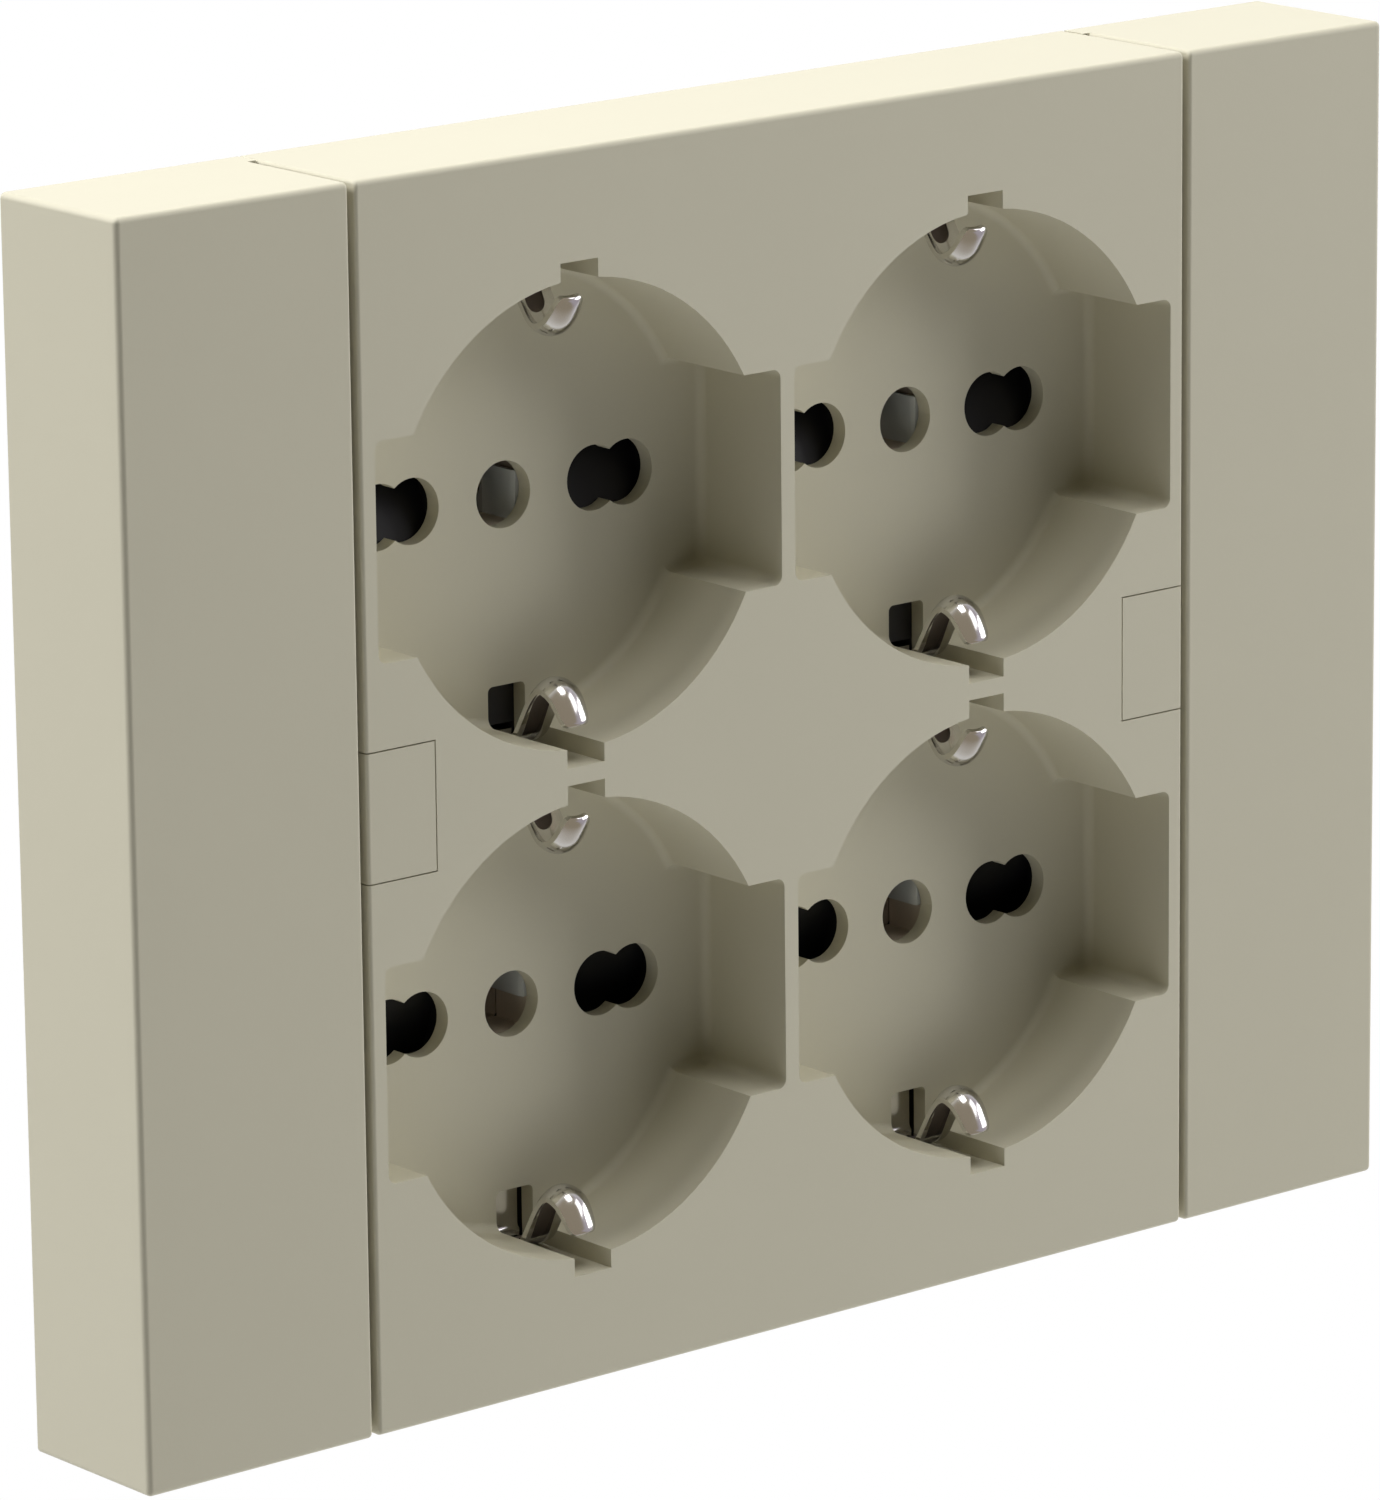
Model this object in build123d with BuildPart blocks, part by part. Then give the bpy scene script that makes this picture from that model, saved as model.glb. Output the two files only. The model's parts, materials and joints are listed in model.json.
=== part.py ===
from build123d import *
import os

# Recessed quadruple socket, in millimetres.
# X runs to the right, Z up and Y into the wall. The wall face is the plane Y = 0.

# Outer body
overall_width = 135.4
overall_height = 103.8
face_depth = 15.2
block_width = 88.8
groove_width = 0.67
lap_depth = 2.4
face_wall = 2.0
side_wall = 2.2
edge_radius = 0.5
groove_edge_radius = 0.3

# Socket wells
socket_pitch_x = 43.68
socket_pitch_z = 43.33
well_radius = 19.46
well_depth = 10.33
cutout_width = 42.22
cutout_height = 18.22
cutout_corner = 0.8
notch_width = 3.9
notch_reach = 20.94
cup_wall = 1.4
floor_thickness = 1.5
well_floor_radius = 0.8

# Holes in each well floor
earth_hole_radius = 2.83
pin_hole_radius = 2.79
narrow_pin_offset = 9.5
wide_pin_offset = 13.0
clip_slot_start = 16.0
clip_slot_corner = 0.5

# Fixing to the wall box
fixing_spacing = 83.5
fixing_screw_radius = 1.5
fixing_hole_radius = 1.75
fixing_head_radius = 2.55
fixing_head_height = 2.0
fixing_screw_reach = 20.0
cap_width = 7.05
cap_height = 11.0
cap_seam = 0.12
cap_plate = 1.6
cap_leg = 1.2
cap_leg_depth = 7.5
shaft_wall = 1.3

# Rear housing
flange_thickness = 2.4
flange_clearance = 0.3
body_width = 82.0
body_height = 64.0
body_corner = 3.0
body_wall = 1.6
body_depth = 22.4
back_wall = 1.8
relief_height = 8.4
relief_face = 36.5
ear_height = 10.0
ear_edge_gap = 0.2
boss_inset_x = 6.2
boss_inset_z = 6.3
boss_radius = 2.6
cover_screw_radius = 1.25
cover_screw_head_radius = 2.3
cover_screw_head_height = 1.3
cover_screw_length = 9.0
thread_clearance = 0.05
touch_gap = 0.05

# Shutters and their carrier
fit_clearance = 0.15
shutter_thickness = 3.0
shutter_half_width = 16.4
shutter_cover = 0.8
shutter_height = 12.0
shutter_travel = 6.6
shutter_window = 11.0
bridge_height = 2.8
ramp_depth = 2.4
ramp_half_width = 4.9
carrier_plate = 0.85
spring_radius = 1.15
spring_wire = 0.4
spring_turns = 5
spring_seat = 5.9

# Metalwork
strip = 0.5
strip_width = 3.4
strap_depth = 1.3
clip_bend = 0.8
clip_end_depth = 1.0
clip_end_offset = 18.2
clip_ridge_depth = 3.3
clip_ridge_offset = 14.8
clip_shoulder_depth = 5.0
clip_shoulder_offset = 16.5
clip_leg_depth = 7.0
clip_leg_offset = 20.0
clip_foot_offset = 20.5
clip_slot_depth = 7.4
clip_slot_length = 5.2
clip_slot_width = 1.3
strap_step = 2.4
strap_ramp = 2.2
strap_slot = 5.4
earth_pad_radius = 4.0
earth_pad_bore = 2.3
brass = 0.6
fork_width = 8.1
fork_gap = 3.8
fork_mouth = 6.2
fork_front = 1.5
fork_lead = 2.4
fork_back = 15.6
rail_height = 3.2
rail_offset = 6.0
link_width = 3.0
link_plane = 13.4
earth_leaf_gap = 3.7
earth_leaf_mouth = 5.5
earth_leaf_reach = 4.8
earth_leaf_bend = 0.5
earth_leaf_lead = 1.6
terminal_width = 6.6
terminal_height = 10.0
terminal_spacing = 12.0
terminal_proud = 0.8
wire_hole_radius = 1.7
terminal_front_wall = 1.0
terminal_screw_gap = 0.5
terminal_screw_radius = 1.25
terminal_screw_head = 1.9
terminal_screw_offset = 2.5

# Places worked out from the sizes
front_y = -face_depth
floor_front_y = front_y + well_depth
floor_back_y = floor_front_y + floor_thickness
block_edge = block_width / 2
wing_inner = block_edge + groove_width
wing_outer = overall_width / 2
top_edge = overall_height / 2
socket_x = socket_pitch_x / 2
socket_z = socket_pitch_z / 2
socket_places = [(-socket_x, socket_z), (socket_x, socket_z), (-socket_x, -socket_z), (socket_x, -socket_z)]
socket_names = ["upper_left", "upper_right", "lower_left", "lower_right"]
pin_pair_offset = (narrow_pin_offset + wide_pin_offset) / 2
fixing_x = fixing_spacing / 2
boss_x = block_edge - boss_inset_x
boss_z = top_edge - boss_inset_z
boss_places = [(x, z) for x in (-boss_x, boss_x) for z in (-boss_z, boss_z)]
flange_y = -flange_thickness
cavity_floor_y = body_depth - back_wall
shutter_front_y = floor_back_y + fit_clearance
shutter_back_y = shutter_front_y + shutter_thickness
carrier_back_y = shutter_back_y + fit_clearance + carrier_plate
cap_inner = block_edge - cap_width

os.makedirs("parts", exist_ok=True)


def facing(y):
    # A sketch plane at depth y that looks out of the wall: local x is X and local y is Z.
    return Plane.XZ.offset(-y)


def save(piece, name):
    piece.label = name
    export_step(piece, f"parts/{name}.step")


def rectangle_between(x0, x1, z0, z1, mode=Mode.ADD):
    with Locations(((x0 + x1) / 2, (z0 + z1) / 2)):
        Rectangle(abs(x1 - x0), abs(z1 - z0), mode=mode)


def well_outline(grow=0.0):
    # Round well with two side cut-outs and the two clip notches.
    Circle(well_radius + grow)
    RectangleRounded(cutout_width + 2 * grow, cutout_height + 2 * grow, cutout_corner)
    Rectangle(notch_width + 2 * grow, 2 * (notch_reach + grow))


def pin_holes():
    # The earth hole and a figure-of-eight hole on each side of it.
    Circle(earth_hole_radius)
    pins = [side * reach for side in (-1, 1) for reach in (narrow_pin_offset, wide_pin_offset)]
    with Locations(*[(x, 0) for x in pins]):
        Circle(pin_hole_radius)


def body_outline(shrink=0.0):
    # The part that enters the wall box, waisted at mid-height to pass the lugs of the box.
    RectangleRounded(body_width - 2 * shrink, body_height - 2 * shrink, body_corner - shrink)
    for side in (-1, 1):
        edge = side * body_width / 2
        waist = side * (relief_face - shrink)
        half = relief_height / 2 + shrink
        rectangle_between(waist, edge, -half, half, Mode.SUBTRACT)


# Front cover: one moulding with four wells
with BuildPart() as front_cover:
    with BuildSketch(facing(front_y)):
        Rectangle(block_width, overall_height)
    extrude(amount=-face_depth)
    front_edges = front_cover.faces().sort_by(Axis.Y)[0].edges()
    fillet(front_edges.filter_by(Axis.X), edge_radius)
    groove_edges = front_cover.faces().sort_by(Axis.Y)[0].edges().filter_by(Axis.Z)
    fillet(groove_edges, groove_edge_radius)
    with BuildSketch(facing(front_y + face_wall)):
        Rectangle(block_width - 2 * side_wall, overall_height - 2 * side_wall)
    extrude(amount=-(face_depth - face_wall), mode=Mode.SUBTRACT)
    with BuildSketch(facing(front_y + face_wall / 2)):
        with Locations(*socket_places):
            well_outline(cup_wall)
        Rectangle(block_width - side_wall, overall_height - side_wall, mode=Mode.INTERSECT)
    extrude(amount=-(floor_back_y - front_y - face_wall / 2))
    with BuildSketch(facing(front_y + face_wall / 2)):
        for side in (-1, 1):
            half = cap_height / 2 + shaft_wall
            rectangle_between(side * (cap_inner - shaft_wall), side * (block_edge - side_wall / 2), -half, half)
    extrude(amount=-(floor_back_y - front_y - face_wall / 2))
    with BuildSketch(facing(front_y + face_wall / 2)):
        with Locations(*boss_places):
            Circle(boss_radius)
    extrude(amount=-(flange_y - fit_clearance - front_y - face_wall / 2))
    with BuildSketch(facing(front_y)):
        with Locations(*socket_places):
            well_outline()
    extrude(amount=-well_depth, mode=Mode.SUBTRACT)
    well_floors = front_cover.faces().filter_by(Axis.Y).filter_by_position(Axis.Y, floor_front_y, floor_front_y)
    round_edges = [edge for edge in well_floors.edges()
                   if abs(abs(edge.center().X) - socket_x) > (notch_width + strip) / 2]
    fillet(round_edges, well_floor_radius)
    with BuildSketch(facing(floor_front_y)):
        with Locations(*socket_places):
            pin_holes()
            with Locations(*[(0, side * (clip_slot_start + notch_reach) / 2) for side in (-1, 1)]):
                RectangleRounded(notch_width, notch_reach - clip_slot_start, clip_slot_corner)
    extrude(amount=-floor_thickness, mode=Mode.SUBTRACT)
    with BuildSketch(facing(front_y)):
        for side in (-1, 1):
            rectangle_between(side * cap_inner, side * (block_edge + groove_width), -cap_height / 2, cap_height / 2)
    extrude(amount=-face_depth, mode=Mode.SUBTRACT)
    with BuildSketch(facing(flange_y - fit_clearance)):
        with Locations(*boss_places):
            Circle(cover_screw_radius)
    extrude(amount=cover_screw_length, mode=Mode.SUBTRACT)
save(front_cover.part, "front_cover")


# Wings: hollow shells beside the block that close the groove at the wall
rib_places = [z * overall_height / 4 for z in (-1, 0, 1)]
for name, side in (("left_wing", -1), ("right_wing", 1)):
    with BuildPart() as wing:
        with BuildSketch(facing(front_y)):
            rectangle_between(side * wing_inner, side * wing_outer, -top_edge, top_edge)
        extrude(amount=-face_depth)
        outer_corners = wing.edges().filter_by(Axis.Y).sort_by(Axis.X, reverse=side > 0)[:2]
        fillet(outer_corners, edge_radius)
        front = wing.faces().sort_by(Axis.Y)[0]
        groove_side = front.edges().filter_by(Axis.Z).sort_by(Axis.X, reverse=side < 0)[0]
        fillet([edge for edge in front.edges() if edge != groove_side], edge_radius)
        front = wing.faces().sort_by(Axis.Y)[0]
        fillet(front.edges().filter_by(Axis.Z).sort_by(Axis.X, reverse=side < 0)[0], groove_edge_radius)
        with BuildSketch(facing(front_y + face_wall)):
            inner = side * (wing_inner + side_wall)
            outer = side * (wing_outer - side_wall)
            rectangle_between(inner, outer, side_wall - top_edge, top_edge - side_wall)
            for z in rib_places:
                rectangle_between(inner, outer, z - face_wall / 2, z + face_wall / 2, Mode.SUBTRACT)
        extrude(amount=-(face_depth - face_wall), mode=Mode.SUBTRACT)
        with BuildSketch(facing(-lap_depth)):
            rectangle_between(side * (block_edge + cap_seam / 2), side * (wing_inner + side_wall / 2), -top_edge, top_edge)
        extrude(amount=-lap_depth)
    save(wing.part, name)


# Caps over the fixing screws, flush with the front and with the side of the block
for name, side in (("left_screw_cap", -1), ("right_screw_cap", 1)):
    with BuildPart() as screw_cap:
        with BuildSketch(Plane.XY.offset(cap_seam - cap_height / 2)):
            low = side * (cap_inner + cap_seam)
            high = side * block_edge
            rectangle_between(low, high, front_y, front_y + cap_leg_depth)
            rectangle_between(low + side * cap_leg, high - side * cap_leg,
                              front_y + cap_plate, front_y + cap_leg_depth, Mode.SUBTRACT)
        extrude(amount=cap_height - 2 * cap_seam)
        outer_edge = screw_cap.faces().sort_by(Axis.Y)[0].edges().filter_by(Axis.Z)
        fillet(outer_edge.sort_by(Axis.X, reverse=side > 0)[0], groove_edge_radius)
    save(screw_cap.part, name)


# Fixing screws into the wall box
for name, side in (("left_fixing_screw", -1), ("right_fixing_screw", 1)):
    with BuildPart() as fixing_screw:
        with BuildSketch(facing(flange_y)):
            with Locations((side * fixing_x, 0)):
                Circle(fixing_head_radius)
        extrude(amount=fixing_head_height)
        with BuildSketch(facing(flange_y - fixing_head_height)):
            with Locations((side * fixing_x, 0)):
                Rectangle(2 * fixing_head_radius, fixing_screw_radius / 2)
        extrude(amount=-fixing_head_height / 2, mode=Mode.SUBTRACT)
        with BuildSketch(facing(flange_y)):
            with Locations((side * fixing_x, 0)):
                Circle(fixing_hole_radius - thread_clearance)
        extrude(amount=-flange_thickness)
        with BuildSketch(facing(0)):
            with Locations((side * fixing_x, 0)):
                Circle(fixing_screw_radius)
        extrude(amount=-fixing_screw_reach)
    save(fixing_screw.part, name)


# Rear housing: flange against the wall and a box behind it
terminal_places = [(-terminal_spacing, 0), (0, 0), (terminal_spacing, 0)]
with BuildPart() as rear_housing:
    with BuildSketch(facing(flange_y)):
        Rectangle(block_width - 2 * (side_wall + flange_clearance),
                  overall_height - 2 * (side_wall + flange_clearance))
        Rectangle(block_width - 2 * ear_edge_gap, ear_height)
    extrude(amount=-flange_thickness)
    with BuildSketch(facing(0)):
        body_outline()
    extrude(amount=-body_depth)
    with BuildSketch(facing(flange_y)):
        body_outline(body_wall)
    extrude(amount=-(flange_thickness + cavity_floor_y), mode=Mode.SUBTRACT)
    with BuildSketch(facing(flange_y)):
        with Locations((-fixing_x, 0), (fixing_x, 0)):
            Circle(fixing_hole_radius)
        with Locations(*boss_places):
            Circle(cover_screw_radius + thread_clearance)
    extrude(amount=-flange_thickness, mode=Mode.SUBTRACT)
    with BuildSketch(facing(0)):
        with Locations(*boss_places):
            Circle(cover_screw_head_radius + thread_clearance)
    extrude(amount=cover_screw_head_height + thread_clearance, mode=Mode.SUBTRACT)
    with BuildSketch(facing(cavity_floor_y)):
        with Locations(*terminal_places):
            Rectangle(terminal_width + 2 * fit_clearance, terminal_height + 2 * fit_clearance)
    extrude(amount=-back_wall, mode=Mode.SUBTRACT)
save(rear_housing.part, "rear_housing")


# Screws that hold the rear housing to the front cover
for number, (x, z) in enumerate(boss_places, 1):
    with BuildPart() as cover_screw:
        with BuildSketch(facing(0)):
            with Locations((x, z)):
                Circle(cover_screw_head_radius)
        extrude(amount=cover_screw_head_height)
        with BuildSketch(facing(0)):
            with Locations((x, z)):
                Rectangle(2 * cover_screw_head_radius, cover_screw_radius / 2)
        extrude(amount=cover_screw_head_height / 2, mode=Mode.SUBTRACT)
        with BuildSketch(facing(-cover_screw_head_height)):
            with Locations((x, z)):
                Circle(cover_screw_radius - thread_clearance)
        extrude(amount=cover_screw_length)
    save(cover_screw.part, f"cover_screw_{number}")


# Shutter carrier: a plate with one pocket and one spring channel for each shutter
pocket_inner = shutter_cover + pin_hole_radius - shutter_height - shutter_travel - fit_clearance
pocket_outer = shutter_cover + pin_hole_radius + fit_clearance
with BuildPart() as shutter_carrier:
    with BuildSketch(facing(shutter_front_y)):
        body_outline(body_wall + fit_clearance)
    extrude(amount=-(carrier_back_y - shutter_front_y))
    with BuildSketch(facing(shutter_front_y)):
        for x, z in socket_places:
            row = 1 if z > 0 else -1
            half = shutter_half_width + fit_clearance
            rectangle_between(x - half, x + half, z + row * pocket_inner, z + row * pocket_outer)
            channel = spring_radius + spring_wire
            rectangle_between(x - channel, x + channel, row * spring_seat, z + row * pocket_inner)
    extrude(amount=-(shutter_thickness + fit_clearance), mode=Mode.SUBTRACT)
    with BuildSketch(facing(shutter_front_y)):
        with Locations(*socket_places):
            pin_holes()
            contact_window = earth_leaf_mouth + 2 * (strip + fit_clearance)
            Rectangle(contact_window, contact_window)
        for x in (-socket_x, socket_x):
            half = notch_width / 2
            rectangle_between(x - half, x + half, -half, half)
            for row in (-1, 1):
                edge = row * body_height / 2
                rectangle_between(x - half, x + half, edge, edge - row * strap_slot)
    extrude(amount=-(carrier_back_y - shutter_front_y), mode=Mode.SUBTRACT)
save(shutter_carrier.part, "shutter_carrier")


# Safety shutters: two pads joined by a bridge, with a ramp under each pin hole
for name, (x, z) in zip(socket_names, socket_places):
    row = 1 if z > 0 else -1
    pad_outer = z + row * (shutter_cover + pin_hole_radius)
    pad_inner = pad_outer - row * shutter_height
    bridge_outer = z - row * (earth_hole_radius + fit_clearance)
    bridge_inner = bridge_outer - row * bridge_height
    with BuildPart() as shutter:
        with BuildSketch(facing(shutter_front_y)):
            rectangle_between(x - shutter_half_width, x + shutter_half_width, pad_inner, pad_outer)
            half = shutter_window / 2
            rectangle_between(x - half, x + half, pad_inner, pad_outer, Mode.SUBTRACT)
            rectangle_between(x - shutter_half_width, x + shutter_half_width, bridge_inner, bridge_outer)
        extrude(amount=-shutter_thickness)
        for side in (-1, 1):
            ramp_centre = x + side * pin_pair_offset
            with BuildSketch(Plane.YZ.offset(ramp_centre - ramp_half_width)):
                with BuildLine():
                    Polyline((shutter_front_y, z - row * pin_hole_radius),
                             (shutter_front_y + ramp_depth, pad_outer),
                             (shutter_front_y, pad_outer), close=True)
                make_face()
            extrude(amount=2 * ramp_half_width, mode=Mode.SUBTRACT)
    save(shutter.part, f"{name}_shutter")

    low = row * (spring_seat + spring_wire / 2 + touch_gap)
    high = bridge_inner - row * (spring_wire / 2 + touch_gap)
    spring_y = (shutter_front_y + shutter_back_y) / 2
    length = abs(high - low)
    with BuildPart() as spring:
        with BuildLine() as coil:
            Helix(length / spring_turns, length, spring_radius,
                  center=(x, spring_y, min(low, high)), direction=(0, 0, 1))
        with BuildSketch(Plane(origin=coil.line @ 0, z_dir=coil.line % 0)):
            Circle(spring_wire / 2)
        sweep()
    save(spring.part, f"{name}_shutter_spring")


# Earth clips and straps: folded strip, given as the line along its middle
def clip_points(centre, way):
    # The sprung clip of one socket from its free end to the floor slot. way is +1 outwards, -1 inwards.
    reach = [(clip_end_depth, clip_end_offset), (clip_ridge_depth, clip_ridge_offset),
             (clip_shoulder_depth, clip_shoulder_offset), (clip_leg_depth, clip_leg_offset),
             (well_depth, clip_foot_offset)]
    return [(front_y + depth, centre + way * z) for depth, z in reach]


def folded_strip(points, x, width, thickness, bend):
    with BuildSketch(Plane.YZ.offset(x - width / 2)) as section:
        with BuildLine():
            FilletPolyline(*points, radius=bend)
            offset(amount=thickness / 2, side=Side.BOTH)
        make_face()
    extrude(section.sketch, amount=width)


def clip_slot(x, centre, way):
    with BuildSketch(Plane.XY.offset(centre + way * clip_slot_start)) as opening:
        with Locations((x, front_y + clip_slot_depth)):
            SlotOverall(clip_slot_length, clip_slot_width, rotation=90)
    extrude(opening.sketch, amount=way * (notch_reach - clip_slot_start), mode=Mode.SUBTRACT)


run_y = flange_y - strip / 2 - fit_clearance
for column, x in (("left", -socket_x), ("right", socket_x)):
    upper = clip_points(socket_z, 1)
    step = body_height / 2 - strap_step
    upper += [(run_y, upper[-1][1]), (run_y, step), (strap_depth, step - strap_ramp)]
    lower = [(y, -z) for y, z in reversed(upper)]
    with BuildPart() as earth_strap:
        folded_strip(upper + lower, x, strip_width, strip, clip_bend)
        with BuildSketch(facing(strap_depth - strip / 2)):
            with Locations((x, socket_z), (x, -socket_z)):
                Circle(earth_pad_radius)
        extrude(amount=-strip)
        with BuildSketch(facing(strap_depth - strip / 2)):
            with Locations((x, socket_z), (x, -socket_z)):
                Circle(earth_pad_bore)
        extrude(amount=-strip, mode=Mode.SUBTRACT)
        clip_slot(x, socket_z, 1)
        clip_slot(x, -socket_z, -1)
    save(earth_strap.part, f"{column}_earth_strap")

    base_y = strap_depth - strip - touch_gap
    inner_upper = clip_points(socket_z, -1)
    inner_upper.append((base_y, inner_upper[-1][1]))
    inner_lower = [(y, -z) for y, z in reversed(inner_upper)]
    with BuildPart() as inner_clips:
        folded_strip(inner_upper + inner_lower, x, strip_width, strip, clip_bend)
        clip_slot(x, socket_z, -1)
        clip_slot(x, -socket_z, 1)
    save(inner_clips.part, f"{column}_inner_earth_clips")


# Earth link across the two straps, with a tab back to its terminal
link_front = strap_depth + strip / 2
with BuildPart() as earth_link:
    with BuildSketch(facing(link_front)):
        Rectangle(socket_pitch_x + strip_width, strip_width)
    extrude(amount=-brass)
    with BuildSketch(facing(link_front)):
        with Locations((-terminal_spacing, 0)):
            Rectangle(brass, strip_width)
    extrude(amount=-(fork_back + brass - link_front))
    with BuildSketch(facing(fork_back)):
        with Locations((-terminal_spacing, 0)):
            Rectangle(terminal_width, strip_width)
    extrude(amount=-brass)
save(earth_link.part, "earth_link")


# Earth contacts: two leaves and a base in front of the strap, behind the middle hole of each well
for name, (x, z) in zip(socket_names, socket_places):
    base_y = strap_depth - strip
    grip = (earth_leaf_gap + strip) / 2
    mouth = (earth_leaf_mouth + strip) / 2
    leaf_front = floor_back_y + fit_clearance + strip / 2
    half_section = [(mouth, leaf_front), (grip, leaf_front + earth_leaf_lead), (grip, base_y)]
    with BuildPart() as earth_contact:
        with BuildSketch(Plane.XY.offset(z - earth_hole_radius)):
            with BuildLine():
                FilletPolyline(*[(x + u, y) for u, y in half_section],
                               *[(x - u, y) for u, y in reversed(half_section)], radius=earth_leaf_bend)
                offset(amount=strip / 2, side=Side.BOTH)
            make_face()
        extrude(amount=earth_leaf_reach)
        with BuildSketch(facing(base_y)):
            with Locations((x, z)):
                Circle(earth_pad_bore)
        extrude(amount=strip, both=True, mode=Mode.SUBTRACT)
    save(earth_contact.part, f"{name}_earth_contact")


# Sprung forks that grip the pins
def fork_points(centre, back, gap, mouth, front):
    return [(front, centre + mouth / 2), (front + fork_lead, centre + gap / 2), (back, centre + gap / 2),
            (back, centre - gap / 2), (front + fork_lead, centre - gap / 2), (front, centre - mouth / 2)]


def fork(x, centre):
    middle = fork_points(centre, fork_back + brass / 2, fork_gap + brass, fork_mouth, fork_front)
    folded_strip(middle, x, fork_width, brass, brass)


# Live rails: one for each row, on the outer side of the pins
for name, z in (("upper_live_bar", socket_z), ("lower_live_bar", -socket_z)):
    row = 1 if z > 0 else -1
    forks = [x - pin_pair_offset for x in (-socket_x, socket_x)]
    with BuildPart() as live_bar:
        for x in forks:
            fork(x, z)
        with BuildSketch(facing(fork_back)):
            rail = z + row * rail_offset
            rectangle_between(forks[0] - fork_width / 2, forks[1] + fork_width / 2,
                              rail - rail_height / 2, rail + rail_height / 2)
            for x in forks:
                rectangle_between(x - rail_height / 2, x + rail_height / 2, z + row * fork_gap / 2, rail)
        extrude(amount=-brass)
    save(live_bar.part, name)


# Live link: bridges the neutral rails on the way from one live rail to the other
with BuildPart() as live_link:
    rail = socket_z + rail_offset
    upper = [(fork_back - brass / 2, rail + rail_height / 2), (fork_back - brass / 2, rail - rail_height / 2),
             (link_plane, rail - rail_height)]
    folded_strip(upper + [(y, -z) for y, z in reversed(upper)], 0, link_width, brass, brass)
save(live_link.part, "live_link")


# Neutral bar: both inner rails and the link between them
with BuildPart() as neutral_bar:
    forks = [x + pin_pair_offset for x in (-socket_x, socket_x)]
    for x in forks:
        for z in (-socket_z, socket_z):
            fork(x, z)
    with BuildSketch(facing(fork_back)):
        for row in (-1, 1):
            rail = row * (socket_z - rail_offset)
            rectangle_between(forks[0] - fork_width / 2, forks[1] + fork_width / 2,
                              rail - rail_height / 2, rail + rail_height / 2)
            for x in forks:
                rectangle_between(x - rail_height / 2, x + rail_height / 2,
                                  row * (socket_z - fork_gap / 2), rail)
        with Locations((terminal_spacing, 0)):
            Rectangle(link_width, 2 * (socket_z - rail_offset))
    extrude(amount=-brass)
save(neutral_bar.part, "neutral_bar")


# Terminals: a brass cage with a wire hole and a clamping screw, both open to the back
terminal_back = body_depth - terminal_proud
terminal_fronts = {"earth": fork_back + brass, "live": link_plane + brass / 2, "neutral": fork_back + brass}
for (name, front), (x, z) in zip(terminal_fronts.items(), terminal_places):
    with BuildPart() as terminal:
        with BuildSketch(facing(terminal_back)):
            with Locations((x, z)):
                Rectangle(terminal_width, terminal_height)
        extrude(amount=terminal_back - front)
        with BuildSketch(facing(terminal_back)):
            with Locations((x, z - terminal_screw_offset)):
                Circle(wire_hole_radius)
            with Locations((x, z + terminal_screw_offset)):
                Circle(terminal_screw_radius + thread_clearance)
        extrude(amount=terminal_back - front - terminal_front_wall, mode=Mode.SUBTRACT)
    save(terminal.part, f"{name}_terminal")
    with BuildPart() as terminal_screw:
        with BuildSketch(facing(terminal_back)):
            with Locations((x, z + terminal_screw_offset)):
                Circle(terminal_screw_head)
        extrude(amount=-terminal_proud)
        with BuildSketch(facing(terminal_back + terminal_proud)):
            with Locations((x, z + terminal_screw_offset)):
                Rectangle(2 * terminal_screw_head, terminal_screw_radius / 2)
        extrude(amount=terminal_proud / 2, mode=Mode.SUBTRACT)
        with BuildSketch(facing(terminal_back)):
            with Locations((x, z + terminal_screw_offset)):
                Circle(terminal_screw_radius)
        extrude(amount=terminal_back - front - terminal_front_wall - terminal_screw_gap)
    save(terminal_screw.part, f"{name}_terminal_screw")
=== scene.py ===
import math
import json
import bpy
import bmesh
from mathutils import Matrix, Vector


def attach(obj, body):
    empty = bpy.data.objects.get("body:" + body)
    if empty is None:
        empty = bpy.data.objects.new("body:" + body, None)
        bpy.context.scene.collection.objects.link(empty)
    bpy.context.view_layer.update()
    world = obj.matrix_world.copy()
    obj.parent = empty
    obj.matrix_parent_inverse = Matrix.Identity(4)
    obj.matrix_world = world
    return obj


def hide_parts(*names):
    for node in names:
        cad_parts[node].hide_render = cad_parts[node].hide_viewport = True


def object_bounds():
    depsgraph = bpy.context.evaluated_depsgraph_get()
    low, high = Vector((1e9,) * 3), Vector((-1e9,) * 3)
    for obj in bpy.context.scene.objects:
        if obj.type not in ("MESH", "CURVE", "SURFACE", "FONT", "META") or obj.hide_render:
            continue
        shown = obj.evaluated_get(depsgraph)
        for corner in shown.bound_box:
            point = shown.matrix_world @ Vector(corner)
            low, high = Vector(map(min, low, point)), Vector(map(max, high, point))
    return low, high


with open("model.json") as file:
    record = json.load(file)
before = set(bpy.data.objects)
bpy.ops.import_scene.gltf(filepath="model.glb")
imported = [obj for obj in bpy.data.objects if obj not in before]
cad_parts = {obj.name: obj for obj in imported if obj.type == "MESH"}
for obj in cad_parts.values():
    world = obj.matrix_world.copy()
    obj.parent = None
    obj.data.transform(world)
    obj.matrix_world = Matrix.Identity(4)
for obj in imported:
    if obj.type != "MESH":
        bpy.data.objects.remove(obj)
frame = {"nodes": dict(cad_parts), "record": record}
nodes = frame["nodes"]
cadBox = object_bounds()
print("frame loaded:", len(nodes), "nodes")

mm = 0.001

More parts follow.
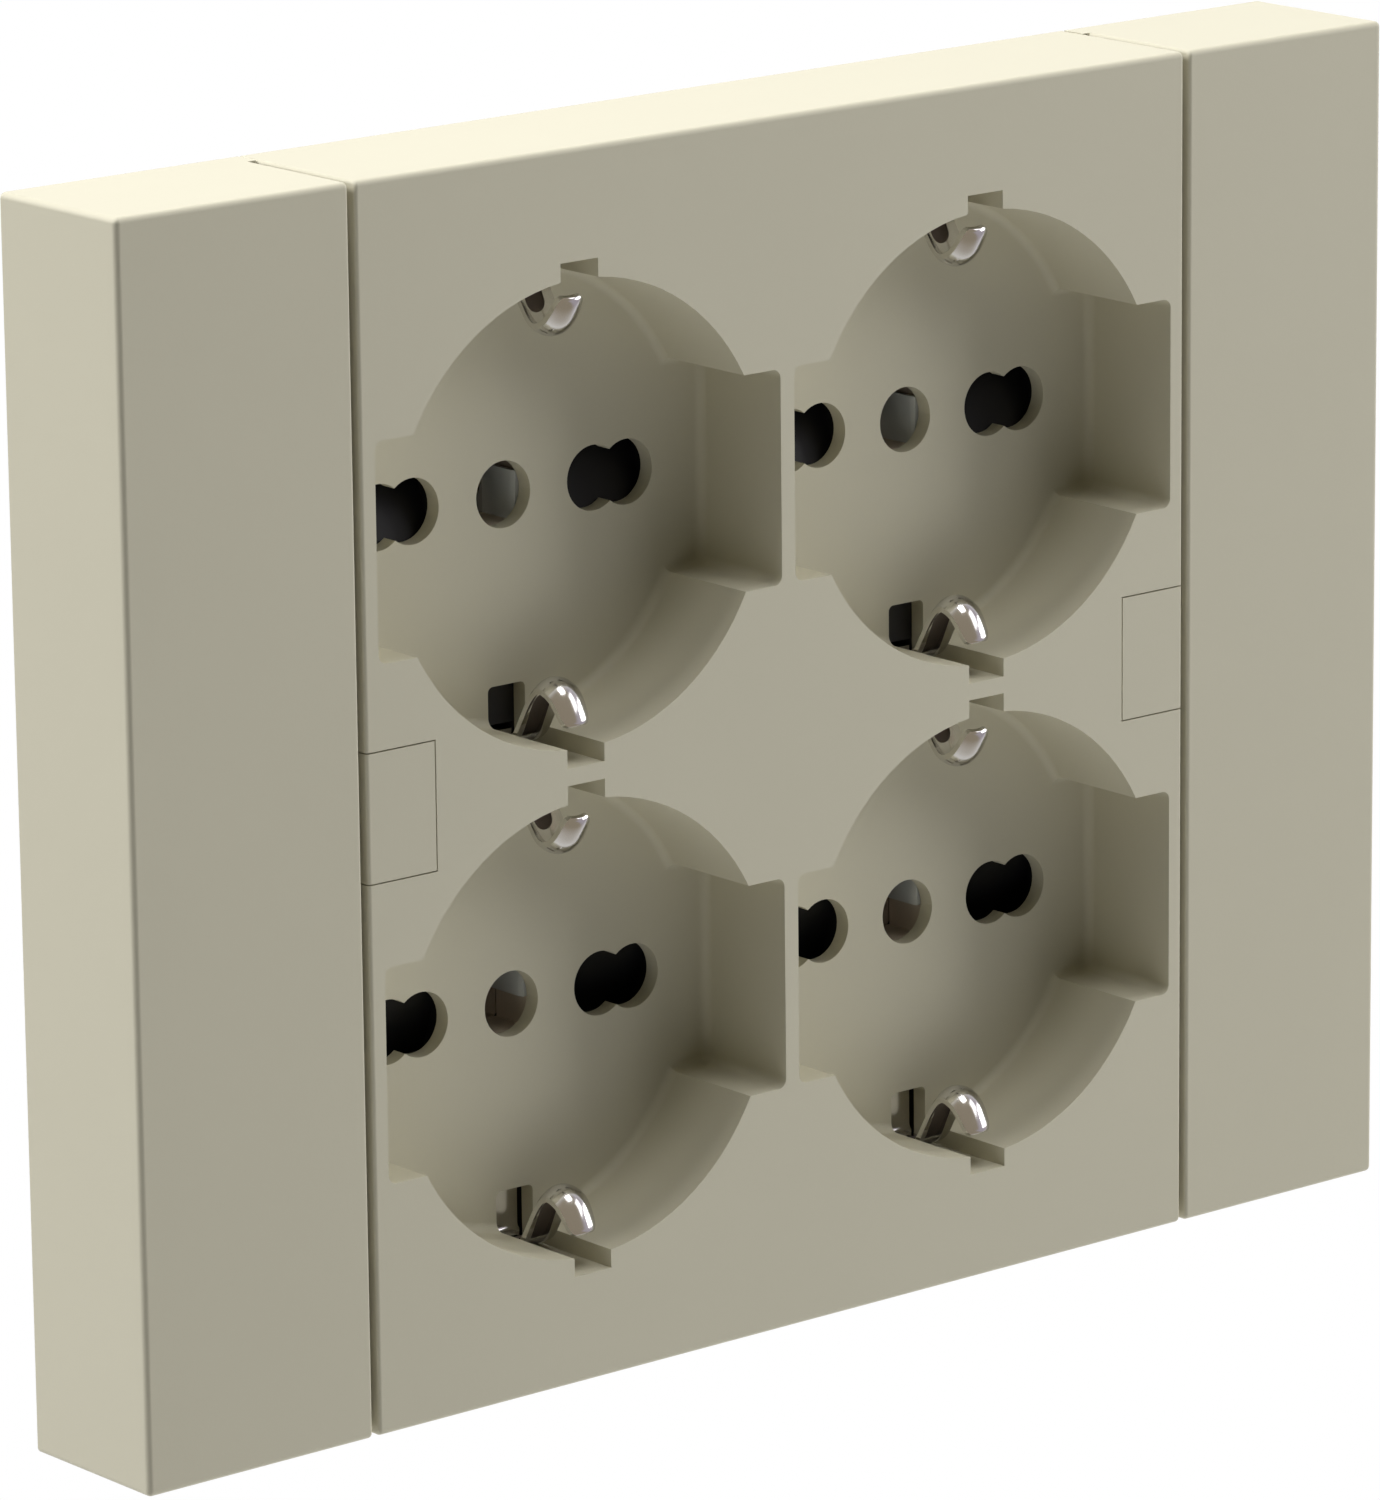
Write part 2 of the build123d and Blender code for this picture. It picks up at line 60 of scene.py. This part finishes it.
# Camera, from a fit to the edges of the block: place and aim in millimetres, angles in degrees
cameraView = {
    "azimuth": -39.602,
    "elevation": 14.126,
    "roll": -0.614,
    "distance": 722.67,
    "aim": (-10.826, -15.2, 0.147),
    "focalPixels": 8769.9,
    "framePixels": (1380, 1500),
    "sensor": 36.0,
    "nearest": 0.01,
}


def makeCamera(view):
    az, el, roll = (math.radians(view[k]) for k in ("azimuth", "elevation", "roll"))
    back = Vector((math.sin(az) * math.cos(el), -math.cos(az) * math.cos(el), math.sin(el)))
    right = Vector((math.cos(az), math.sin(az), 0))
    up = back.cross(right)
    rolledRight = math.cos(roll) * right + math.sin(roll) * up
    rolledUp = -math.sin(roll) * right + math.cos(roll) * up
    data = bpy.data.cameras.new("photoCamera")
    data.sensor_width = view["sensor"]
    data.lens = view["sensor"] * view["focalPixels"] / max(view["framePixels"])
    data.clip_start = view["nearest"]
    camera = bpy.data.objects.new("photoCamera", data)
    turn = Matrix((rolledRight, rolledUp, back)).transposed().to_4x4()
    place = (Vector(view["aim"]) + back * view["distance"]) * mm
    camera.matrix_world = Matrix.Translation(place) @ turn
    bpy.context.collection.objects.link(camera)
    bpy.context.scene.camera = camera


makeCamera(cameraView)
bpy.context.scene.view_settings.view_transform = "Standard"
print("camera placed")

# Studio: a white backdrop and a pale floor far below the wall piece, and soft lamps that give all the light
studio = {
    "floorDrop": 0.30,
    "floorSize": 6.0,
    "floorColour": (0.85, 0.85, 0.84, 1),
    "floorRoughness": 0.9,
    # What mirrors see of the room in front of the object, by direction; behind it is the white backdrop
    "roomLeft": (0.31, 0.265, 0.20, 1),
    "roomRight": (0.42, 0.38, 0.42, 1),
    "roomTurn": (0.25, 0.55),
    "roomEdge": (-0.35, 0.15),
    "lampDistance": 1.2,
    "lampAim": (0, -0.01, 0),
    # name: (azimuth from the front to the right, elevation, watts, width); angles in degrees
    "lamps": {
        "topLamp": (0.0, 96.0, 9.5, 0.45),
        "topFrontLamp": (0.0, 71.0, 3.0, 0.4),
        "leftLamp": (-125.0, 35.0, 11.4, 0.45),
        "rightLamp": (65.0, 8.0, 7.0, 0.55),
        "frontLamp": (40.0, 38.0, 1.4, 0.5),
    },
}


def seenDirectly(tree):
    # 1 where the camera, a mirror or a pane looks straight at this surface
    path = tree.nodes.new("ShaderNodeLightPath")
    first = tree.nodes.new("ShaderNodeMath")
    first.operation = "MAXIMUM"
    second = tree.nodes.new("ShaderNodeMath")
    second.operation = "MAXIMUM"
    tree.links.new(path.outputs["Is Camera Ray"], first.inputs[0])
    tree.links.new(path.outputs["Is Glossy Ray"], first.inputs[1])
    tree.links.new(first.outputs[0], second.inputs[0])
    tree.links.new(path.outputs["Is Transmission Ray"], second.inputs[1])
    return second.outputs[0]


def softStep(tree, value, edge):
    step = tree.nodes.new("ShaderNodeMapRange")
    step.interpolation_type = "SMOOTHSTEP"
    step.inputs["From Min"].default_value, step.inputs["From Max"].default_value = edge
    tree.links.new(value, step.inputs["Value"])
    return step.outputs["Result"]


def mixColours(tree, factor, *colours):
    # Each colour is either fixed or another node's output
    mix = tree.nodes.new("ShaderNodeMix")
    mix.data_type = "RGBA"
    tree.links.new(factor, mix.inputs["Factor"])
    for colour, socket in zip(colours, [socket for socket in mix.inputs if socket.type == "RGBA"]):
        if isinstance(colour, tuple):
            socket.default_value = colour
        else:
            tree.links.new(colour, socket)
    return next(socket for socket in mix.outputs if socket.type == "RGBA")


def backdropColour(tree, values, place):
    # White for the camera from any side; mirrors see the dimmer room towards the front
    split = tree.nodes.new("ShaderNodeSeparateXYZ")
    tree.links.new(place, split.inputs[0])
    turned = softStep(tree, split.outputs["X"], values["roomTurn"])
    room = mixColours(tree, turned, values["roomLeft"], values["roomRight"])
    path = tree.nodes.new("ShaderNodeLightPath")
    white = tree.nodes.new("ShaderNodeMath")
    white.operation = "MAXIMUM"
    tree.links.new(softStep(tree, split.outputs["Y"], values["roomEdge"]), white.inputs[0])
    tree.links.new(path.outputs["Is Camera Ray"], white.inputs[1])
    return mixColours(tree, white.outputs[0], room, (1, 1, 1, 1))


def makeWorld(values):
    world = bpy.data.worlds.new("studioWorld")
    bpy.context.scene.world = world
    world.use_nodes = True
    tree = world.node_tree
    tree.nodes.clear()
    way = tree.nodes.new("ShaderNodeTexCoord")
    backdrop = tree.nodes.new("ShaderNodeBackground")
    tree.links.new(backdropColour(tree, values, way.outputs["Generated"]), backdrop.inputs["Color"])
    mix = tree.nodes.new("ShaderNodeMixShader")
    out = tree.nodes.new("ShaderNodeOutputWorld")
    # Other rays get no shader here, so the backdrop gives no light
    tree.links.new(seenDirectly(tree), mix.inputs[0])
    tree.links.new(backdrop.outputs[0], mix.inputs[2])
    tree.links.new(mix.outputs[0], out.inputs[0])


def makeLamps(values):
    aim = Vector(values["lampAim"])
    for name, (azimuth, elevation, watts, width) in values["lamps"].items():
        az, el = math.radians(azimuth), math.radians(elevation)
        outward = Vector((math.sin(az) * math.cos(el), -math.cos(az) * math.cos(el), math.sin(el)))
        place = aim + outward * values["lampDistance"]
        data = bpy.data.lights.new(name, "AREA")
        data.shape = "SQUARE"
        data.size = width
        data.energy = watts
        lamp = bpy.data.objects.new(name, data)
        lamp.location = place
        lamp.rotation_euler = (-outward).to_track_quat("-Z", "Y").to_euler()
        bpy.context.collection.objects.link(lamp)


def makeFloor(values):
    half = values["floorSize"] / 2
    mesh = bpy.data.meshes.new("paleFloor")
    z = cadBox[0][2] - values["floorDrop"]
    corners = [(-half, -half, z), (half, -half, z), (half, half, z), (-half, half, z)]
    mesh.from_pydata(corners, [], [(0, 1, 2, 3)])
    floor = bpy.data.objects.new("paleFloor", mesh)
    bpy.context.collection.objects.link(floor)
    material = bpy.data.materials.new("paleFloor")
    material.use_nodes = True
    tree = material.node_tree
    paint = tree.nodes["Principled BSDF"]
    paint.inputs["Base Color"].default_value = values["floorColour"]
    paint.inputs["Roughness"].default_value = values["floorRoughness"]
    lit = tree.nodes.new("ShaderNodeEmission")
    place = tree.nodes.new("ShaderNodeTexCoord")
    tree.links.new(backdropColour(tree, values, place.outputs["Object"]), lit.inputs["Color"])
    mix = tree.nodes.new("ShaderNodeMixShader")
    tree.links.new(seenDirectly(tree), mix.inputs[0])
    tree.links.new(paint.outputs[0], mix.inputs[1])
    tree.links.new(lit.outputs[0], mix.inputs[2])
    tree.links.new(mix.outputs[0], tree.nodes["Material Output"].inputs[0])
    mesh.materials.append(material)


makeWorld(studio)
makeLamps(studio)
makeFloor(studio)
print("studio lit")


# Shared effects as node groups
def groupSockets(tree, inputs, outputs):
    for name, kind, value in inputs:
        socket = tree.interface.new_socket(name=name, in_out="INPUT", socket_type=kind)
        socket.default_value = value
    for name, kind in outputs:
        tree.interface.new_socket(name=name, in_out="OUTPUT", socket_type=kind)
    return tree.nodes.new("NodeGroupInput"), tree.nodes.new("NodeGroupOutput")


grainLook = {
    "scale": 2500.0,
    "detail": 3.0,
    "mottleScale": 60.0,
    "mottleDetail": 2.0,
    "depth": 0.0001,
}


def makeMouldedGrain(look):
    # Fine spark texture of a moulding: a bump height and a faint mottling mask
    tree = bpy.data.node_groups.new("mouldedGrain", "ShaderNodeTree")
    inp, out = groupSockets(tree, [("Scale", "NodeSocketFloat", look["scale"]),
                                   ("Mottle Scale", "NodeSocketFloat", look["mottleScale"])],
                            [("Height", "NodeSocketFloat"), ("Mottle", "NodeSocketFloat")])
    place = tree.nodes.new("ShaderNodeTexCoord")
    for name, detail, result in (("Scale", look["detail"], "Height"),
                                 ("Mottle Scale", look["mottleDetail"], "Mottle")):
        noise = tree.nodes.new("ShaderNodeTexNoise")
        noise.inputs["Detail"].default_value = detail
        tree.links.new(place.outputs["Object"], noise.inputs["Vector"])
        tree.links.new(inp.outputs[name], noise.inputs["Scale"])
        tree.links.new(noise.outputs["Fac"], out.inputs[result])
    return tree


mouldedGrain = makeMouldedGrain(grainLook)

plasticLooks = {
    "beigeMoulding": {"dark": (0.635, 0.603, 0.476, 1), "light": (0.65, 0.618, 0.488, 1),
                      "roughness": 0.5, "specular": 0.25, "grain": 0.05},
    "darkMoulding": {"dark": (0.030, 0.030, 0.031, 1), "light": (0.045, 0.045, 0.046, 1),
                     "roughness": 0.5, "specular": 0.4, "grain": 0.12},
    "shutterMoulding": {"dark": (0.008, 0.008, 0.009, 1), "light": (0.014, 0.014, 0.015, 1),
                        "roughness": 0.35, "specular": 0.2, "grain": 0.06},
}


def makePlastic(name, look):
    material = bpy.data.materials.new(name)
    material.use_nodes = True
    tree = material.node_tree
    shader = tree.nodes["Principled BSDF"]
    grain = tree.nodes.new("ShaderNodeGroup")
    grain.node_tree = mouldedGrain
    colour = mixColours(tree, grain.outputs["Mottle"], look["dark"], look["light"])
    tree.links.new(colour, shader.inputs["Base Color"])
    bump = tree.nodes.new("ShaderNodeBump")
    bump.inputs["Strength"].default_value = look["grain"]
    bump.inputs["Distance"].default_value = grainLook["depth"]
    tree.links.new(grain.outputs["Height"], bump.inputs["Height"])
    tree.links.new(bump.outputs["Normal"], shader.inputs["Normal"])
    shader.inputs["Roughness"].default_value = look["roughness"]
    shader.inputs["Specular IOR Level"].default_value = look["specular"]
    return material


metalMottleScale = 900.0
metalLooks = {
    "nickelPlate": {"colour": (0.70, 0.69, 0.68, 1), "roughness": (0.10, 0.22)},
    "contactBrass": {"colour": (0.68, 0.52, 0.26, 1), "roughness": (0.22, 0.38)},
    "tinnedContact": {"colour": (0.72, 0.74, 0.72, 1), "roughness": (0.40, 0.55), "metallic": 0.0},
    "contactGuard": {"colour": (0.66, 0.57, 0.47, 1), "roughness": (0.45, 0.6), "metallic": 0.0},
    # The backing spring's near-black colour is painted shade: it makes the clip slots look dark inside
    "backingSpringPaintedShade": {"colour": (0.13, 0.105, 0.095, 1), "roughness": (0.35, 0.5), "metallic": 0.6},
    "springSteel": {"colour": (0.55, 0.55, 0.55, 1), "roughness": (0.20, 0.32)},
    "zincPlate": {"colour": (0.62, 0.62, 0.60, 1), "roughness": (0.25, 0.40)},
}


def makeMetal(name, look):
    material = bpy.data.materials.new(name)
    material.use_nodes = True
    tree = material.node_tree
    shader = tree.nodes["Principled BSDF"]
    grain = tree.nodes.new("ShaderNodeGroup")
    grain.node_tree = mouldedGrain
    grain.inputs["Mottle Scale"].default_value = metalMottleScale
    spread = tree.nodes.new("ShaderNodeMapRange")
    spread.inputs["To Min"].default_value, spread.inputs["To Max"].default_value = look["roughness"]
    tree.links.new(grain.outputs["Mottle"], spread.inputs["Value"])
    tree.links.new(spread.outputs["Result"], shader.inputs["Roughness"])
    shader.inputs["Base Color"].default_value = look["colour"]
    shader.inputs["Metallic"].default_value = look.get("metallic", 1.0)
    return material


materials = {name: makePlastic(name, look) for name, look in plasticLooks.items()}
materials.update({name: makeMetal(name, look) for name, look in metalLooks.items()})

slotMaterials = {
    "beige_moulding": "beigeMoulding",
    "dark_moulding": "darkMoulding",
    "shutter_moulding": "shutterMoulding",
    "nickel_plated_strip": "nickelPlate",
    "contact_brass": "contactBrass",
    "spring_steel": "springSteel",
    "zinc_plated_steel": "zincPlate",
}


def dressNodes():
    for part in frame["record"]["subparts"]:
        mesh = nodes[part["node"]].data
        mesh.materials.clear()
        mesh.materials.append(materials[slotMaterials[part["material_slot"]]])


dressNodes()
print("materials on the CAD pieces")

# The wells, in millimetres: the front face, and the middle of each from the middle of the block
wells = {"frontY": -15.2, "x": 21.84, "z": 21.665}

# Sprung earth clips: domed leaves with rounded ends, in place of the plain front part of each folded strip
clipShape = {
    # depth behind the front face, distance from the middle of the well, width, height of the dome
    "stations": (
        (1.05, 17.85, 1.7, 0.2), (1.12, 17.65, 2.3, 0.36), (1.35, 17.2, 2.75, 0.5), (1.8, 16.45, 3.0, 0.6),
        (2.4, 15.7, 3.2, 0.72), (3.1, 15.2, 3.35, 0.8), (3.95, 15.0, 3.4, 0.8), (4.8, 15.4, 3.4, 0.74),
        (5.7, 16.5, 3.4, 0.55), (6.6, 18.0, 3.4, 0.32), (7.5, 19.4, 3.4, 0.12), (8.7, 20.2, 3.4, 0.0),
        (10.2, 20.5, 3.4, 0.0), (12.1, 20.5, 3.4, 0.0),
    ),
    "stepsBetween": 5,
    "columns": 16,
    "thickness": 0.45,
    # the slot in the leg: width, its reach away from the middle, the depths that it is cut between
    "slotWidth": 1.9,
    "slotReach": (15.9, 22.0),
    "slotDepths": (4.6, 12.4),
    "slotSides": 16,
    # the depth from which the frame's own strip goes on
    "joinDepth": 11.9,
    # a spring strip behind the slot, coloured near black as painted shade seen through the slot: stations
    # covered, width, gap, thickness, share of the dome
    "backing": {"stations": (7, 13), "width": 2.3, "gap": 0.08, "thickness": 0.2, "dome": 0.3},
    # piece: (frame node, side of the column, the two clips as (row, way away from the middle))
    "pieces": {
        "leftStrapAndClips": ("left_earth_strap", -1, ((1, 1), (-1, -1))),
        "rightStrapAndClips": ("right_earth_strap", 1, ((1, 1), (-1, -1))),
        "leftInnerClips": ("left_inner_earth_clips", -1, ((1, -1), (-1, 1))),
        "rightInnerClips": ("right_inner_earth_clips", 1, ((1, -1), (-1, 1))),
    },
}


def smoothRows(rows, steps):
    out = []
    for i in range(len(rows) - 1):
        a, b = rows[max(i - 1, 0)], rows[i]
        c, d = rows[i + 1], rows[min(i + 2, len(rows) - 1)]
        for k in range(steps):
            t = k / steps
            out.append([0.5 * (2 * q + (r - p) * t + (2 * p - 5 * q + 4 * r - v) * t ** 2
                               + (3 * q - p - 3 * r + v) * t ** 3) for p, q, r, v in zip(a, b, c, d)])
    out.append(list(rows[-1]))
    return out


def gridFaces(bm, rows):
    for low, high in zip(rows, rows[1:]):
        for k in range(len(low) - 1):
            bm.faces.new((low[k], low[k + 1], high[k + 1], high[k]))


def clipSolid(x, z, way, rows, columns, top, thickness):
    bm = bmesh.new()
    layers = ([], [])
    for i, (depth, away, width, dome) in enumerate(rows):
        before, after = rows[max(i - 1, 0)], rows[min(i + 1, len(rows) - 1)]
        along = Vector((after[0] - before[0], after[1] - before[1])).normalized()
        for layer, drop in zip(layers, (-top, thickness - top)):
            line = []
            for k in range(columns + 1):
                u = 2 * k / columns - 1
                rise = dome * (1 - u * u) - drop
                y = wells["frontY"] + depth + along.y * rise
                point = Vector((x + u * width / 2, y, z + way * (away - along.x * rise)))
                line.append(bm.verts.new(point * mm))
            layer.append(line)
    outer, inner = layers
    gridFaces(bm, outer)
    gridFaces(bm, inner)
    for k in (0, -1):
        gridFaces(bm, [[line[k] for line in outer], [line[k] for line in inner]])
        gridFaces(bm, [outer[k], inner[k]])
    bmesh.ops.recalc_face_normals(bm, faces=bm.faces)
    return bm


def addPrism(bm, outline, levels, place, material=0):
    # Closed outline swept between two levels; place turns (u, v, level) into a point in millimetres
    near, far = [[bm.verts.new(Vector(place(u, v, level)) * mm) for u, v in outline] for level in levels]
    faces = [bm.faces.new(near), bm.faces.new(far)]
    for k in range(len(outline)):
        faces.append(bm.faces.new((near[k - 1], near[k], far[k], far[k - 1])))
    for face in faces:
        face.material_index = material


def slotCutter(shape, x, z, way):
    bm = bmesh.new()
    r, sides = shape["slotWidth"] / 2, shape["slotSides"]
    start, end = shape["slotReach"]
    turns = [math.pi * k / sides for k in range(sides + 1)]
    outline = [(r * math.cos(turn), start + r - r * math.sin(turn)) for turn in turns]
    outline += [(-r, end), (r, end)]
    addPrism(bm, outline, shape["slotDepths"],
             lambda u, away, depth: (x + u, wells["frontY"] + depth, z + way * away))
    bmesh.ops.recalc_face_normals(bm, faces=bm.faces)
    return bm


def plainMesh(name, bm):
    mesh = bpy.data.meshes.new(name)
    bm.to_mesh(mesh)
    bm.free()
    return mesh


def slottedClip(shape, x, z, way):
    # The slot is cut with a boolean, whose result goes back into a plain mesh
    rows = smoothRows(shape["stations"], shape["stepsBetween"])
    whole = clipSolid(x, z, way, rows, shape["columns"], 0.0, shape["thickness"])
    made = []
    for name, bm in (("clip", whole), ("cutter", slotCutter(shape, x, z, way))):
        made.append(bpy.data.objects.new(name, plainMesh(name, bm)))
        bpy.context.collection.objects.link(made[-1])
    clip, cutter = made
    cut = clip.modifiers.new("slot", "BOOLEAN")
    cut.operation = "DIFFERENCE"
    cut.object = cutter
    result = bpy.data.meshes.new_from_object(clip.evaluated_get(bpy.context.evaluated_depsgraph_get()))
    for spare in made:
        bpy.data.objects.remove(spare)
    return result


def backingStrip(shape, x, z, way):
    backing = shape["backing"]
    first, last = backing["stations"]
    rows = smoothRows([(depth, away, backing["width"], dome * backing["dome"])
                       for depth, away, width, dome in shape["stations"][first:last]], shape["stepsBetween"])
    thickness = backing["thickness"]
    strip = clipSolid(x, z, way, rows, shape["columns"], backing["gap"] + thickness, thickness)
    return plainMesh("backing", strip)


def strapBehindFloor(node, depth):
    # The frame's own strip from just behind the well floor
    bm = bmesh.new()
    bm.from_mesh(node.data)
    same, onPlane = 1e-6, 1e-7
    bmesh.ops.remove_doubles(bm, verts=bm.verts, dist=same)
    bmesh.ops.bisect_plane(bm, geom=bm.verts[:] + bm.edges[:] + bm.faces[:], dist=onPlane, clear_outer=True,
                           plane_co=(0, (wells["frontY"] + depth) * mm, 0), plane_no=(0, -1, 0))
    bmesh.ops.holes_fill(bm, edges=[edge for edge in bm.edges if edge.is_boundary], sides=0)
    return bm


def takeIn(bm, mesh, material):
    before = len(bm.faces)
    bm.from_mesh(mesh)
    bpy.data.meshes.remove(mesh)
    bm.faces.ensure_lookup_table()
    for face in bm.faces[before:]:
        face.material_index = material


def addPiece(name, bm, looks, node, sharpAngle=35.0):
    # Smooth but for the sharp edges; the piece is hung on the socket body and the node it stands for is
    # hidden
    for face in bm.faces:
        face.smooth = True
    for edge in bm.edges:
        if len(edge.link_faces) == 2:
            edge.smooth = edge.calc_face_angle(0) < math.radians(sharpAngle)
    mesh = plainMesh(name, bm)
    for look in looks:
        mesh.materials.append(materials[look])
    piece = bpy.data.objects.new(name, mesh)
    bpy.context.collection.objects.link(piece)
    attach(piece, "socket_body")
    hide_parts(node)


def makeClips(shape):
    for name, (node, side, clips) in shape["pieces"].items():
        bm = strapBehindFloor(nodes[node], shape["joinDepth"])
        for row, way in clips:
            place = (side * wells["x"], row * wells["z"], way)
            takeIn(bm, slottedClip(shape, *place), 0)
            takeIn(bm, backingStrip(shape, *place), 1)
        addPiece(name, bm, ("nickelPlate", "backingSpringPaintedShade"), node)


makeClips(clipShape)
print("earth clips made")

# Earth contacts behind the middle holes: two leaves inside an open guard
contactShape = {
    # section of a leaf: distance from the middle of the hole, depth behind the front face
    "leaf": ((2.6, 12.05), (2.5, 12.3), (2.46, 12.7), (2.45, 13.2), (2.45, 17.6)),
    "leafThickness": 0.4,
    "guardHalf": 3.0,
    "guardThickness": 0.2,
    "guardBottom": 0.1,
    "guardDepths": (12.0, 16.15),
    "guardHeights": (-2.83, 2.83),
    # lowest and highest edge of the leaves from the middle of the hole
    "leafHeights": {"upper": (-2.83, 1.35), "lower": (-0.25, 2.83)},
}


def makeContacts(shape):
    thick, front = shape["leafThickness"], wells["frontY"]
    half, outside = shape["guardHalf"], shape["guardHalf"] + shape["guardThickness"]
    low, high = shape["guardHeights"]
    under = low - shape["guardBottom"]
    guard = [(-half, high), (-half, low), (half, low), (half, high),
             (outside, high), (outside, under), (-outside, under), (-outside, high)]
    for row, side in (("upper", "left"), ("upper", "right"), ("lower", "left"), ("lower", "right")):
        x = wells["x"] if side == "right" else -wells["x"]
        z = wells["z"] if row == "upper" else -wells["z"]
        bm = bmesh.new()
        for way in (-1, 1):
            inner = [(way * u, depth) for u, depth in shape["leaf"]]
            outer = [(way * (u + thick), depth) for u, depth in reversed(shape["leaf"])]
            addPrism(bm, inner + outer, shape["leafHeights"][row],
                     lambda u, depth, level: (x + u, front + depth, z + level))
        addPrism(bm, guard, shape["guardDepths"],
                 lambda u, v, depth: (x + u, front + depth, z + v), material=1)
        bmesh.ops.recalc_face_normals(bm, faces=bm.faces)
        name = row + side.capitalize() + "Contact"
        addPiece(name, bm, ("tinnedContact", "contactGuard"), f"{row}_{side}_earth_contact")


makeContacts(contactShape)
print("earth contacts made")
